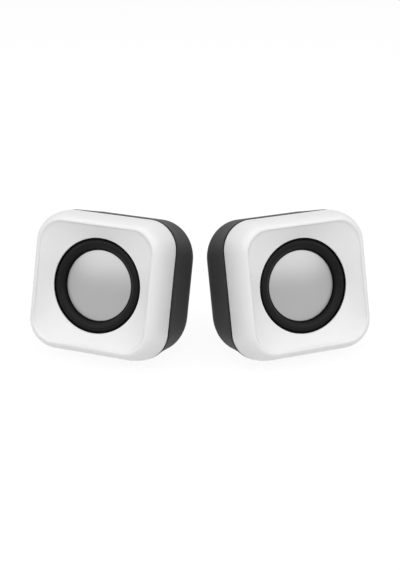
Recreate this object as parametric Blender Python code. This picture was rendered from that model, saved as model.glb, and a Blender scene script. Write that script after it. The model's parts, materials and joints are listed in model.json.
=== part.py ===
# A pair of small desktop speakers: a left one and its mirror image. Each is turned
# outwards and leans back on a flat sole at the lower rear of its case.
#
# A speaker is modelled about the centre of its own face: x runs across the face,
# y runs back from the front rim, and z runs up the face. Lengths are in metres.

import math

import bmesh
import bpy
from mathutils import Vector

# Case
face_width = 0.0700
face_height = 0.0690
corner_radius = 0.0159
wall = 0.0022
fit_gap = 0.0003

# Front bezel, whose side is a quarter ellipse from the rim to the parting line
bezel_depth = 0.0169
rim_inset = 0.0047
dish_inset = 0.0053
dish_edge_depth = 0.0007
dish_corner_extra = 0.0011
hole_depth = 0.0055
hole_land = 0.0021

# Rear shell, with straight drafted sides and then a round back
parting_groove = 0.0005
tongue_length = 0.0025
tongue_wall = 0.0013
shell_draft = 0.062
shell_corner_growth = 1.41
shell_straight_end = 0.0375
rear_radius = 0.0206

# How the pair stands
pair_gap = 0.0339
outward_turn = math.radians(23.6)
lean_back = math.radians(14.55)
sole_depth = 0.0427
sole_rise = 0.0052
foot_radius = 0.0030
foot_height = 0.0014
foot_across = 0.0150
foot_depths = (0.0320, 0.0490)

# Driver: surround, dome, cone and voice coil
dome_radius = 0.01716
dome_sink = 0.0002
dome_rise = 0.0028
skin = 0.0005
cone_length = 0.0050
rubber = 0.00045
roll_land = 0.00029
roll_half_width = 0.0025
roll_height = 0.0026
roll_rise = 0.0002
roll_clearance = 0.00035
lip_width = 0.0019
lip_thickness = 0.0006
coil_radius = 0.0073
coil_wall = 0.0003
winding = 0.0004
winding_lead = 0.0010
winding_overhang = 0.0032
spider_fold = 0.0008
spider_thickness = 0.00035

# Driver: basket and magnet
flange_margin = 0.0016
flange_thickness = 0.0014
flange_land = 0.0005
flange_slope = 0.0020
basket_depth = 0.0220
basket_neck = 0.0176
basket_wall = 0.0014
basket_bore = 0.0094
ledge_depth = 0.0182
ledge_width = 0.0022
window_half = 0.0080
window_edge = 0.0012
ear_margin = 0.0014
ear_radius = 0.0029
top_plate_thickness = 0.0030
plate_radius = 0.0170
magnet_radius = 0.0200
magnet_thickness = 0.0080
magnet_clearance = 0.0022
yoke_thickness = 0.0025
pole_radius = 0.0069
coil_clearance = 0.00035
terminal_half = 0.0045
terminal_height = 0.0040
terminal_thickness = 0.0012
terminal_reach = 0.0030
lug_across = 0.0025
lug_size = (0.0014, 0.0040, 0.0004)

# Fasteners
case_screw_from_side = 0.0080
case_screw_from_top = 0.0075
case_boss_radius = 0.0028
case_post_radius = 0.0042
case_joint_depth = 0.0300
case_seat = 0.0052
case_screw_radius = 0.0012
case_head_radius = 0.0023
case_head_height = 0.0018
case_screw_length = 0.0145
driver_screw_radius = 0.0010
driver_head_radius = 0.0019
driver_head_height = 0.0014
driver_screw_length = 0.0043
driver_boss_radius = 0.0026

# Rear fittings, and the amplifier in the right speaker
grommet_height = -0.0087
grommet_hole = 0.0032
grommet_flange = 0.0044
cord_hole = 0.0014
grommet_collar = 0.0014
grommet_length = 0.0050
knob_height = 0.0042
knob_radius = 0.0075
knob_length = 0.0080
knob_front = 0.0018
knob_edge = 0.0008
shaft_radius = 0.0030
board_clearance = 0.0076
board_size = (0.0360, 0.0016, 0.0260)
board_screw_across = 0.0145
board_screw_height = -0.0040
board_post_radius = 0.0026
board_screw_radius = 0.0010
board_screw_spare = 0.0020
board_head = (0.0019, 0.0014, 0.0006)
chip_size = (0.0100, 0.0016, 0.0060)
chip_height = -0.0035
capacitor_radius = 0.0037
capacitor_length = 0.0060
capacitor_edge = 0.0003
capacitor_across = 0.0095
capacitor_height = 0.0080
control_half = 0.0048
control_thickness = 0.0052

# Sizes that follow from those above: how far apart the faces are, how deep the surround
# and the dome's edge lie, and outwards from the dome the roll, hole, lip, flange and ears
face_spacing = face_width + pair_gap
lip_front = hole_depth + wall + fit_gap
roll_base = lip_front + roll_rise
dome_edge_depth = roll_base + dome_sink
roll_middle = dome_radius + fit_gap + roll_land + roll_half_width
hole_radius = roll_middle + roll_half_width + roll_clearance
lip_radius = hole_radius + lip_width
flange_radius = lip_radius + flange_margin
ear_reach = flange_radius + ear_margin

# Smoothness of the curves
corner_steps = 5
side_steps = 4
turn_steps = 24
small_steps = 12


def remove_all():
    for thing in list(bpy.data.objects):
        bpy.data.objects.remove(thing, do_unlink=True)


def make_material(name, colour, roughness, metallic=0.0):
    made = bpy.data.materials.new(name)
    made.use_nodes = True
    shader = made.node_tree.nodes["Principled BSDF"]
    shader.inputs["Base Color"].default_value = (*colour, 1.0)
    shader.inputs["Roughness"].default_value = roughness
    shader.inputs["Metallic"].default_value = metallic
    made.diffuse_color = (*colour, 1.0)
    return made


def make_materials():
    return {
        "white_plastic": make_material("white_plastic", (0.84, 0.84, 0.84), 0.3),
        "dark_plastic": make_material("dark_plastic", (0.06, 0.06, 0.06), 0.6),
        "black_rubber": make_material("black_rubber", (0.015, 0.015, 0.015), 0.5),
        "silver": make_material("silver", (0.62, 0.62, 0.63), 0.35, 1.0),
        "black_paper": make_material("black_paper", (0.03, 0.03, 0.03), 0.9),
        "spider_cloth": make_material("spider_cloth", (0.55, 0.36, 0.14), 0.9),
        "copper": make_material("copper", (0.72, 0.36, 0.2), 0.35, 1.0),
        "black_steel": make_material("black_steel", (0.03, 0.03, 0.03), 0.45, 0.6),
        "plated_steel": make_material("plated_steel", (0.6, 0.6, 0.58), 0.3, 1.0),
        "ferrite": make_material("ferrite", (0.06, 0.06, 0.065), 0.7),
        "black_chip": make_material("black_chip", (0.02, 0.02, 0.02), 0.5),
        "board_green": make_material("board_green", (0.02, 0.17, 0.07), 0.45),
        "terminal_brown": make_material("terminal_brown", (0.33, 0.18, 0.08), 0.6),
    }


def new_object(name, mesh_maker, parent, surface, location=(0, 0, 0)):
    mesh = bpy.data.meshes.new(name)
    work = bmesh.new()
    mesh_maker(work)
    bmesh.ops.recalc_face_normals(work, faces=work.faces)
    work.to_mesh(mesh)
    work.free()
    made = bpy.data.objects.new(name, mesh)
    bpy.context.collection.objects.link(made)
    made.parent = parent
    made.location = location
    if surface:
        mesh.materials.append(surface)
        mesh.shade_smooth()
        mesh.set_sharp_from_angle(angle=math.radians(35))
    return made


def apply_tool(target, tool, operation):
    tool.hide_render = True
    tool.display_type = "WIRE"
    cut = target.modifiers.new(operation.lower() + "_" + tool.name, "BOOLEAN")
    cut.operation = operation
    cut.solver = "EXACT"
    cut.object = tool


def add_loft(work, rings, closed=False):
    rows = [[work.verts.new(point) for point in ring] for ring in rings]
    pairs = list(zip(rows, rows[1:]))
    if closed:
        pairs.append((rows[-1], rows[0]))
    else:
        work.faces.new(rows[0])
        work.faces.new(rows[-1])
    for near, far in pairs:
        for index in range(len(near)):
            after = (index + 1) % len(near)
            work.faces.new((near[index], near[after], far[after], far[index]))


# A profile is a closed chain of (radius, depth) corners, turned about the y axis.
# One that touches the axis starts and ends there, and is closed by the axis.
def add_turned(work, profile, steps=turn_steps, x=0.0, z=0.0):
    turns = [2 * math.pi * step / steps for step in range(steps)]
    rows = []
    for radius, depth in profile:
        if radius == 0:
            rows.append([work.verts.new((x, depth, z))])
        else:
            rows.append([
                work.verts.new((x + radius * math.cos(t), depth, z + radius * math.sin(t)))
                for t in turns
            ])
    pairs = list(zip(rows, rows[1:]))
    if len(rows[0]) > 1:
        pairs.append((rows[-1], rows[0]))
    for near, far in pairs:
        for index in range(steps):
            after = (index + 1) % steps
            corners = [near[index % len(near)], near[after % len(near)],
                       far[after % len(far)], far[index % len(far)]]
            work.faces.new(list(dict.fromkeys(corners)))


def add_box(work, low, high):
    corners = [
        work.verts.new((x, y, z))
        for x in (low[0], high[0]) for y in (low[1], high[1]) for z in (low[2], high[2])
    ]
    for side in ((0, 1, 3, 2), (4, 6, 7, 5), (0, 4, 5, 1), (2, 3, 7, 6), (0, 2, 6, 4), (1, 5, 7, 3)):
        work.faces.new([corners[index] for index in side])


def add_rod(work, radius, start, end, x=0.0, z=0.0, steps=small_steps):
    add_turned(work, [(0, start), (radius, start), (radius, end), (0, end)], steps, x, z)


def four_corners(half_width, half_height):
    return [(half_width * across, half_height * up) for up in (1, -1) for across in (-1, 1)]


def case_screw_places():
    return four_corners(face_width / 2 - wall - case_screw_from_side,
                        face_height / 2 - wall - case_screw_from_top)


def driver_screw_places():
    return four_corners(ear_reach / math.sqrt(2), ear_reach / math.sqrt(2))


# A rounded rectangle as a constant number of points, so that any two can be lofted.
def outline(half_width, half_height, radius, depth):
    radius = min(radius, 0.92 * min(half_width, half_height))
    flat = []
    for quarter in range(4):
        across = (1, -1, -1, 1)[quarter] * (half_width - radius)
        up = (1, 1, -1, -1)[quarter] * (half_height - radius)
        for step in range(corner_steps + 1):
            turn = math.pi / 2 * (quarter + step / corner_steps)
            flat.append(Vector((across + radius * math.cos(turn), up + radius * math.sin(turn))))
    points = []
    for index, point in enumerate(flat):
        points.append(point)
        if index % (corner_steps + 1) == corner_steps:
            following = flat[(index + 1) % len(flat)]
            points += [point.lerp(following, step / side_steps) for step in range(1, side_steps)]
    return [Vector((point.x, depth, point.y)) for point in points]


def face_ring(inset, depth, corner_extra=0.0):
    radius = corner_radius - inset + corner_extra
    return outline(face_width / 2 - inset, face_height / 2 - inset, radius, depth)


# A circle whose points lie in the same directions as those of a ring of the face.
def round_ring(radius, depth):
    directions = [Vector((point.x, 0, point.z)) for point in face_ring(dish_inset, 0, dish_corner_extra)]
    return [direction.normalized() * radius + Vector((0, depth, 0)) for direction in directions]


def bezel_side(turn):
    return rim_inset * (1 - math.sin(turn)), bezel_depth * (1 - math.cos(turn))


def make_bezel(side, empty, surfaces):
    outer = [face_ring(*bezel_side(math.radians(turn))) for turn in (90, 72, 54, 36, 18, 0)]
    dish = [
        face_ring(dish_inset, dish_edge_depth, dish_corner_extra),
        round_ring(hole_radius, hole_depth),
    ]
    back_inset = dish_inset + 0.4 * wall
    back = [
        round_ring(hole_radius, hole_depth + wall),
        round_ring(hole_radius + hole_land, hole_depth + wall),
        face_ring(back_inset, dish_edge_depth + 1.3 * wall, dish_corner_extra),
    ]
    for turn in (45, 62, 90):
        inset, depth = bezel_side(math.radians(turn))
        back.append(face_ring(inset + wall, depth))
    bezel = new_object(side + "_front_bezel", lambda work: add_loft(work, outer + dish + back, True),
                       empty, surfaces["white_plastic"])

    boss_start = dish_edge_depth + wall
    driver_boss_start = hole_depth - fit_gap
    seat = flange_front() - fit_gap

    def bosses(work):
        for x, z in case_screw_places():
            add_rod(work, case_boss_radius, boss_start, case_joint_depth, x, z)
        for x, z in driver_screw_places():
            add_rod(work, driver_boss_radius, driver_boss_start, seat, x, z)

    def holes(work):
        for x, z in case_screw_places():
            tip = case_seat_depth() - case_screw_length - fit_gap
            add_rod(work, case_screw_radius + fit_gap, tip, case_joint_depth + wall, x, z)
        for x, z in driver_screw_places():
            tip = flange_back() - driver_screw_length
            add_rod(work, driver_screw_radius + fit_gap, tip, seat + wall, x, z, 8)

    apply_tool(bezel, new_object(side + "_bezel_bosses", bosses, empty, None), "UNION")
    apply_tool(bezel, new_object(side + "_bezel_holes", holes, empty, None), "DIFFERENCE")


def shell_front():
    return bezel_depth + parting_groove


def shell_end():
    return shell_straight_end + rear_radius


# The height of the sole at a depth: level on the desk, so it climbs up the leaning case.
def sole_height(depth):
    return sole_rise - face_height / 2 + math.tan(lean_back) * (depth - sole_depth)


# A ring of the shell at a thickness in from its outside, at a depth along its
# straight sides, or at an angle around its round back.
def shell_ring(inward, depth=None, turn=0.0):
    inset = fit_gap + shell_draft * ((shell_straight_end if depth is None else depth) - bezel_depth)
    if depth is None:
        depth = shell_straight_end + (rear_radius - inward) * math.sin(turn)
        outer_inset = inset + rear_radius * (1 - math.cos(turn))
        inset += inward + (rear_radius - inward) * (1 - math.cos(turn))
    else:
        outer_inset = inset
        inset += inward
    radius = corner_radius - outer_inset + shell_corner_growth * (outer_inset - fit_gap) - inward
    ring = outline(face_width / 2 - inset, face_height / 2 - inset, radius, depth)
    for point in ring:
        point.z = max(point.z, sole_height(point.y) + inward)
    return ring


def case_seat_depth():
    return case_joint_depth + fit_gap + case_seat


def make_shell(side, empty, surfaces, powered):
    front = shell_front()
    tongue = wall + fit_gap
    around = [math.radians(turn) for turn in (18, 36, 54, 72, 88)]
    outer = [
        shell_ring(tongue, front - tongue_length),
        shell_ring(tongue, front),
        shell_ring(0, front),
        shell_ring(0, 0.5 * (front + shell_straight_end)),
        shell_ring(0, shell_straight_end),
    ] + [shell_ring(0, turn=turn) for turn in around]
    tongue_inside = tongue + tongue_wall
    inner = [
        shell_ring(tongue_inside, front - tongue_length - wall),
        shell_ring(tongue_inside, front + wall),
        shell_ring(wall, front + 2 * wall),
        shell_ring(wall, shell_straight_end),
    ] + [shell_ring(wall, turn=turn) for turn in around]

    beyond = shell_end() + wall

    def posts(work):
        for x, z in case_screw_places():
            add_rod(work, case_post_radius, case_joint_depth + fit_gap, beyond, x, z)
        if powered:
            for x in (-board_screw_across, board_screw_across):
                start = board_depth() + board_size[1] + fit_gap
                add_rod(work, board_post_radius, start, beyond, x, board_screw_height)

    def holes(work):
        seat = case_seat_depth()
        shank = case_screw_radius + fit_gap
        well = case_head_radius + 2 * fit_gap
        for x, z in case_screw_places():
            add_turned(work, [(0, case_joint_depth), (shank, case_joint_depth), (shank, seat),
                              (well, seat), (well, beyond), (0, beyond)], small_steps, x, z)
        add_rod(work, grommet_hole, shell_end() - 2 * wall, beyond, 0, grommet_height, 16)
        if powered:
            add_rod(work, shaft_radius + 2 * fit_gap, shell_end() - 2 * wall, beyond, 0, knob_height)
            for x in (-board_screw_across, board_screw_across):
                end = shell_end() - 2 * wall
                add_rod(work, board_screw_radius + fit_gap, board_depth(), end, x, board_screw_height, 8)

    shell = new_object(side + "_rear_shell", lambda work: add_loft(work, outer), empty,
                       surfaces["dark_plastic"])
    hollow = new_object(side + "_shell_hollow", lambda work: add_loft(work, inner), empty, None)
    apply_tool(hollow, new_object(side + "_shell_posts", posts, empty, None), "DIFFERENCE")
    apply_tool(shell, hollow, "DIFFERENCE")
    apply_tool(shell, new_object(side + "_shell_holes", holes, empty, None), "DIFFERENCE")


def make_feet(side, empty, surfaces):
    number = 0
    for depth in foot_depths:
        for x in (-foot_across, foot_across):
            number += 1
            foot = new_object(
                f"{side}_foot_{number}",
                lambda work: add_rod(work, foot_radius, 0, foot_height),
                empty, surfaces["black_rubber"], (x, depth, sole_height(depth)))
            # A rod lies along y, so a quarter turn stands it under the level sole.
            foot.rotation_euler = (lean_back - math.pi / 2, 0, 0)
            drop = fit_gap / math.cos(lean_back)
            foot.location.z -= drop


def flange_front():
    return lip_front + lip_thickness + fit_gap


def flange_back():
    return flange_front() + flange_thickness


def arc_points(middle, depth, half_width, height, start, end, steps):
    points = []
    for step in range(steps + 1):
        turn = math.radians(start + (end - start) * step / steps)
        points.append((middle + half_width * math.cos(turn), depth - height * math.sin(turn)))
    return points


def make_surround(side, empty, surfaces):
    lip_back = lip_front + lip_thickness
    inside = dome_radius + fit_gap
    profile = [(lip_radius, lip_back), (lip_radius, lip_front)]
    profile += arc_points(roll_middle, roll_base, roll_half_width, roll_height, 4, 176, 7)
    profile += [(inside, roll_base), (inside, roll_base + rubber)]
    profile += arc_points(roll_middle, roll_base, roll_half_width - rubber, roll_height - rubber,
                          176, 4, 5)
    profile[-1] = (profile[-1][0], lip_back)
    new_object(side + "_surround", lambda work: add_turned(work, profile), empty,
               surfaces["black_rubber"])


def dome_curve(lift, steps):
    sphere = (dome_radius ** 2 + dome_rise ** 2) / (2 * dome_rise)
    centre = dome_edge_depth - dome_rise + sphere
    span = math.asin(dome_radius / sphere)
    points = []
    for step in range(steps + 1):
        turn = span * step / steps
        points.append(((sphere - lift) * math.sin(turn), centre - (sphere - lift) * math.cos(turn)))
    return points


def make_moving_parts(side, empty, surfaces):
    edge = dome_edge_depth + 0.5 * skin
    dome = dome_curve(0, 4) + [(dome_radius, edge)] + list(reversed(dome_curve(skin, 3)))[1:]
    new_object(side + "_dome_cap", lambda work: add_turned(work, dome), empty, surfaces["silver"])

    rim_front = edge + fit_gap
    neck = coil_radius + coil_wall + fit_gap
    neck_depth = rim_front + cone_length
    cone = [
        (neck, neck_depth), (dome_radius - 2 * skin, rim_front), (dome_radius + 2 * skin, rim_front),
        (dome_radius + 2 * skin, rim_front + skin), (dome_radius - skin, rim_front + skin),
        (neck, neck_depth + 1.6 * skin),
    ]
    new_object(side + "_cone", lambda work: add_turned(work, cone), empty, surfaces["black_paper"])

    outside = coil_radius + coil_wall
    winding_start = basket_depth - winding_lead
    winding_end = winding_start + top_plate_thickness + winding_overhang
    coil = [
        (coil_radius, neck_depth - skin), (outside, neck_depth - skin), (outside, winding_start),
        (outside + winding, winding_start), (outside + winding, winding_end), (outside, winding_end),
        (outside, winding_end + skin), (coil_radius, winding_end + skin),
    ]
    new_object(side + "_voice_coil", lambda work: add_turned(work, coil), empty, surfaces["copper"])


def make_spider(side, empty, surfaces):
    start = coil_radius + coil_wall + fit_gap
    end = basket_neck - basket_wall - fit_gap
    middle = ledge_depth - fit_gap - spider_thickness
    steps = 7
    front = []
    for step in range(steps + 1):
        fold = spider_fold if step % 2 and step < steps - 1 else 0.0
        front.append((start + (end - start) * step / steps, middle - fold))
    back = [(radius, depth + spider_thickness) for radius, depth in reversed(front)]
    new_object(side + "_spider", lambda work: add_turned(work, front + back), empty,
               surfaces["spider_cloth"])


def make_basket(side, empty, surfaces):
    front = flange_front()
    back = flange_back()
    inside = hole_radius - flange_land
    neck_inside = basket_neck - basket_wall
    ledge_inside = neck_inside - ledge_width
    floor = basket_depth - flange_thickness
    profile = [
        (flange_radius, front), (flange_radius, back), (inside + flange_slope, back),
        (basket_neck, ledge_depth + fit_gap), (basket_neck, basket_depth),
        (basket_bore, basket_depth), (basket_bore, floor), (ledge_inside, floor),
        (ledge_inside, ledge_depth), (neck_inside, ledge_depth),
        (neck_inside, ledge_depth - 2 * fit_gap), (inside, back - skin), (inside, front),
    ]
    basket = new_object(side + "_basket", lambda work: add_turned(work, profile), empty,
                        surfaces["black_steel"])

    def ears(work):
        for x, z in driver_screw_places():
            add_rod(work, ear_radius, front, back, x, z)
        add_box(work, (-terminal_half, front, -terminal_end()),
                (terminal_half, back, -inside - 2 * flange_land))

    def openings(work):
        for x, z in driver_screw_places():
            add_rod(work, driver_screw_radius + fit_gap, front - wall, back + wall, x, z, 8)
        near, far = basket_neck - 2 * basket_wall, flange_radius
        for x, z in ((1, 0), (0, 1), (-1, 0), (0, -1)):
            low = (min(near * x, far * x) - window_half * abs(z), back + window_edge,
                   min(near * z, far * z) - window_half * abs(x))
            high = (max(near * x, far * x) + window_half * abs(z), ledge_depth - window_edge,
                    max(near * z, far * z) + window_half * abs(x))
            add_box(work, low, high)

    apply_tool(basket, new_object(side + "_basket_ears", ears, empty, None), "UNION")
    apply_tool(basket, new_object(side + "_basket_openings", openings, empty, None), "DIFFERENCE")


def terminal_end():
    return flange_radius + terminal_reach


def make_terminal(side, empty, surfaces):
    start = flange_back() + fit_gap
    end = start + terminal_thickness
    low = fit_gap - terminal_end()
    high = low + terminal_height
    plate = new_object(
        side + "_terminal_board",
        lambda work: add_box(work, (-terminal_half, start, low), (terminal_half, end, high)),
        empty, surfaces["terminal_brown"])

    def lugs(work):
        width, length, thickness = lug_size
        middle = (low + high) / 2
        root = end - skin
        for x in (-lug_across, lug_across):
            add_box(work, (x - width / 2, root, middle - thickness / 2),
                    (x + width / 2, root + length, middle + thickness / 2))

    apply_tool(plate, new_object(side + "_terminal_lugs", lugs, empty, None), "UNION")


def yoke_end():
    stack = top_plate_thickness + magnet_thickness + yoke_thickness
    return basket_depth + stack + 3 * fit_gap


# The amplifier board stands behind the yoke, with room for its tallest piece.
def board_depth():
    return yoke_end() + board_clearance


def make_magnet(side, empty, surfaces):
    gap_radius = coil_radius + coil_wall + winding + coil_clearance
    plate = basket_depth + fit_gap
    plate_end = plate + top_plate_thickness
    magnet = plate_end + fit_gap
    magnet_end = magnet + magnet_thickness
    yoke = magnet_end + fit_gap
    rings = (
        ("_top_plate", gap_radius, plate_radius, plate, plate_end, "plated_steel"),
        ("_magnet", gap_radius + magnet_clearance, magnet_radius, magnet, magnet_end, "ferrite"),
    )
    for name, inside, outside, start, end, surface in rings:
        profile = [(inside, start), (outside, start), (outside, end), (inside, end)]
        new_object(side + name, lambda work: add_turned(work, profile), empty, surfaces[surface])
    pole = [(0, plate), (pole_radius, plate), (pole_radius, yoke), (plate_radius, yoke),
            (plate_radius, yoke_end()), (0, yoke_end())]
    new_object(side + "_yoke", lambda work: add_turned(work, pole), empty, surfaces["plated_steel"])


# A screw's head starts at y = 0 and its shank runs forwards, towards -y.
def make_screw(name, empty, surfaces, place, shank_radius, length, head_radius, head_height):
    profile = [(0, -length), (shank_radius, -length), (shank_radius, 0), (head_radius, 0),
               (head_radius, 0.6 * head_height), (0.7 * head_radius, head_height), (0, head_height)]
    new_object(name, lambda work: add_turned(work, profile, 8), empty, surfaces["plated_steel"], place)


def make_screws(side, empty, surfaces):
    for number, (x, z) in enumerate(driver_screw_places(), 1):
        make_screw(f"{side}_driver_screw_{number}", empty, surfaces, (x, flange_back() + fit_gap, z),
                   driver_screw_radius, driver_screw_length, driver_head_radius, driver_head_height)
    for number, (x, z) in enumerate(case_screw_places(), 1):
        make_screw(f"{side}_case_screw_{number}", empty, surfaces, (x, case_seat_depth() + fit_gap, z),
                   case_screw_radius, case_screw_length, case_head_radius, case_head_height)


def make_grommet(side, empty, surfaces):
    outside = shell_end() + fit_gap
    inside = shell_end() - wall - fit_gap
    neck = grommet_hole - fit_gap
    profile = [
        (cord_hole, inside - grommet_collar), (grommet_flange, inside - grommet_collar),
        (grommet_flange, inside), (neck, inside), (neck, outside), (grommet_flange, outside),
        (0.8 * grommet_flange, outside + grommet_collar),
        (0.6 * grommet_flange, outside + grommet_length), (cord_hole, outside + grommet_length),
    ]
    new_object(side + "_cable_grommet", lambda work: add_turned(work, profile, 16), empty,
               surfaces["black_rubber"], (0, 0, grommet_height))


def make_amplifier(side, empty, surfaces):
    width, thickness, height = board_size
    start = board_depth()
    board = new_object(
        side + "_amplifier_board",
        lambda work: add_box(work, (-width / 2, start, -height / 2 + knob_height / 2),
                             (width / 2, start + thickness, height / 2 + knob_height / 2)),
        empty, surfaces["board_green"])

    def holes(work):
        for x in (-board_screw_across, board_screw_across):
            add_rod(work, board_screw_radius + fit_gap, start - wall, start + thickness + wall,
                    x, board_screw_height, 8)

    apply_tool(board, new_object(side + "_board_holes", holes, empty, None), "DIFFERENCE")

    front = start - fit_gap
    length = shell_end() - 2 * wall - front - board_screw_spare
    head, rise, edge = board_head
    screw = [(0, -rise), (head - edge, -rise), (head, edge - rise), (head, 0),
             (board_screw_radius, 0), (board_screw_radius, length), (0, length)]
    for number, x in enumerate((-board_screw_across, board_screw_across), 1):
        new_object(f"{side}_board_screw_{number}", lambda work: add_turned(work, screw, 8), empty,
                   surfaces["plated_steel"], (x, front, board_screw_height))

    new_object(side + "_amplifier_chip",
               lambda work: add_box(
                   work, (-chip_size[0] / 2, front - chip_size[1], chip_height - chip_size[2] / 2),
                   (chip_size[0] / 2, front, chip_height + chip_size[2] / 2)),
               empty, surfaces["black_chip"])
    for number, x in enumerate((-capacitor_across, capacitor_across), 1):
        top = front - capacitor_length
        can = [(0, top), (capacitor_radius - capacitor_edge, top),
               (capacitor_radius, top + capacitor_edge), (capacitor_radius, front), (0, front)]
        new_object(f"{side}_capacitor_{number}", lambda work: add_turned(work, can, 16), empty,
                   surfaces["black_steel"], (x, 0, capacitor_height))

    back = start + thickness + fit_gap
    control_end = back + control_thickness
    new_object(side + "_volume_control",
               lambda work: add_box(work, (-control_half, back, knob_height - control_half),
                                    (control_half, control_end, knob_height + control_half)),
               empty, surfaces["plated_steel"])

    shaft_start = control_end + fit_gap
    knob_start = shell_end() + fit_gap
    knob_end = knob_start + knob_length
    bore_end = knob_end - knob_front
    new_object(side + "_volume_shaft",
               lambda work: add_rod(work, shaft_radius, shaft_start, bore_end - fit_gap, steps=16),
               empty, surfaces["plated_steel"], (0, 0, knob_height))
    bore = shaft_radius + fit_gap
    knob = [(0, bore_end), (bore, bore_end), (bore, knob_start), (knob_radius, knob_start),
            (knob_radius, knob_end - knob_edge), (knob_radius - knob_edge, knob_end), (0, knob_end)]
    new_object(side + "_volume_knob", lambda work: add_turned(work, knob, 24), empty,
               surfaces["dark_plastic"], (0, 0, knob_height))


def make_speaker(side, stand, surfaces):
    outward = -1 if side == "left" else 1
    powered = side == "right"
    empty = bpy.data.objects.new(side + "_speaker", None)
    bpy.context.collection.objects.link(empty)
    empty.parent = stand
    empty.location = (outward * face_spacing / 2, 0, 0)
    empty.rotation_euler = (-lean_back, 0, outward * outward_turn)
    make_bezel(side, empty, surfaces)
    make_shell(side, empty, surfaces, powered)
    make_feet(side, empty, surfaces)
    make_surround(side, empty, surfaces)
    make_moving_parts(side, empty, surfaces)
    make_spider(side, empty, surfaces)
    make_basket(side, empty, surfaces)
    make_terminal(side, empty, surfaces)
    make_magnet(side, empty, surfaces)
    make_screws(side, empty, surfaces)
    make_grommet(side, empty, surfaces)
    if powered:
        make_amplifier(side, empty, surfaces)


# Moves the stand so that the pair's bounding box is centred and its feet are at z = 0.
def settle(stand):
    bpy.context.view_layer.update()
    corners = [
        thing.matrix_world @ vertex.co
        for thing in bpy.data.objects if thing.type == "MESH" and not thing.hide_render
        for vertex in thing.data.vertices
    ]
    depths = [corner.y for corner in corners]
    stand.location.y = -(min(depths) + max(depths)) / 2
    stand.location.z = -min(corner.z for corner in corners)


def main():
    remove_all()
    surfaces = make_materials()
    stand = bpy.data.objects.new("pair", None)
    bpy.context.collection.objects.link(stand)
    for side in ("left", "right"):
        make_speaker(side, stand, surfaces)
    settle(stand)


main()
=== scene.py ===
import json
import math

import bmesh
import bpy
from mathutils import Matrix, Vector


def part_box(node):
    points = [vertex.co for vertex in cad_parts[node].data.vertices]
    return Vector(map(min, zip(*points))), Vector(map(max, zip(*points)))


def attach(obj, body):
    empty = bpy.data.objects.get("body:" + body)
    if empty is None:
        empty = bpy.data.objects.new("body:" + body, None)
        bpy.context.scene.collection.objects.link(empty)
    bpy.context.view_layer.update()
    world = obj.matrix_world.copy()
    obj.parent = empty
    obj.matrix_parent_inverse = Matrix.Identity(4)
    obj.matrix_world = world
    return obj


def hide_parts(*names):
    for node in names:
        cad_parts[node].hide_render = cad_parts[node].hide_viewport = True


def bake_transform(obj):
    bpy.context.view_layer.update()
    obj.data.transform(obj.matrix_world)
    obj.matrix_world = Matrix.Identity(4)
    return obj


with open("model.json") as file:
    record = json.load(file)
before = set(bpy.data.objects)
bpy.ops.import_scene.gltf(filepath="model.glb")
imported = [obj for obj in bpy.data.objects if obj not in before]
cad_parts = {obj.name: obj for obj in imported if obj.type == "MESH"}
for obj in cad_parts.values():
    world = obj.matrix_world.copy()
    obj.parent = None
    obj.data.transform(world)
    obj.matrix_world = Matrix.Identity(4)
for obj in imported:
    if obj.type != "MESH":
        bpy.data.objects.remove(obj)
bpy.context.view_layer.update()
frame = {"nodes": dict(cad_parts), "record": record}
joints = {joint["name"]: joint for joint in frame["record"]["behaviour"]["joints"]}
sides = ("left", "right")
mm = 0.001
fitGap = 0.3  # left between pieces that meet
through = 1.0  # how far a cutter runs past the surface that it cuts
almostFlat = 88  # degrees: a rounded end stops just short of flat
print("frame loaded:", len(frame["nodes"]), "nodes")


# places

# The face's own axes: x across, y back from the rim, z up the face.
def faceFrame(side):
    travel = joints[side + "_cone_travel"]
    back = -Vector(travel["axis"]).normalized()
    up = (Vector((0, 0, 1)) - back * back.z).normalized()
    across = back.cross(up)
    place = Matrix((across, back, up)).transposed().to_4x4()
    place.translation = Vector(travel["pos_m"])
    return place


faces = {side: faceFrame(side) for side in sides}


# mesh helpers, in millimetres about the face

def newPiece(name, work, side, material, sharp=35, place=None):
    bmesh.ops.recalc_face_normals(work, faces=work.faces)
    work.transform((place or faces[side]) @ Matrix.Scale(mm, 4))
    mesh = bpy.data.meshes.new(name)
    work.to_mesh(mesh)
    work.free()
    mesh.materials.append(material)
    mesh.shade_smooth()
    mesh.set_sharp_from_angle(angle=math.radians(sharp))
    piece = bpy.data.objects.new(name, mesh)
    bpy.context.collection.objects.link(piece)
    return piece


def loft(work, rings, closed=False):
    rows = [[work.verts.new(point) for point in ring] for ring in rings]
    pairs = list(zip(rows, rows[1:]))
    if closed:
        pairs.append((rows[-1], rows[0]))
    else:
        work.faces.new(rows[0])
        work.faces.new(rows[-1])
    for near, far in pairs:
        for i in range(len(near)):
            j = (i + 1) % len(near)
            work.faces.new((near[i], near[j], far[j], far[i]))


# Turns a closed chain of (radius, depth) about the y axis; radius 0 is a point on it.
def turn(work, profile, steps=96, x=0.0, z=0.0):
    rows = []
    for radius, depth in profile:
        count = steps if radius > 0 else 1
        angles = [2 * math.pi * i / steps for i in range(count)]
        rows.append([work.verts.new((x + radius * math.cos(a), depth, z + radius * math.sin(a)))
                     for a in angles])
    pairs = list(zip(rows, rows[1:]))
    if len(rows[0]) > 1:
        pairs.append((rows[-1], rows[0]))
    for near, far in pairs:
        for i in range(steps):
            j = (i + 1) % steps
            corners = [near[i % len(near)], near[j % len(near)], far[j % len(far)], far[i % len(far)]]
            work.faces.new(list(dict.fromkeys(corners)))


def rod(work, radius, start, end, x=0.0, z=0.0, steps=32):
    turn(work, [(0, start), (radius, start), (radius, end), (0, end)], steps, x, z)


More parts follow.
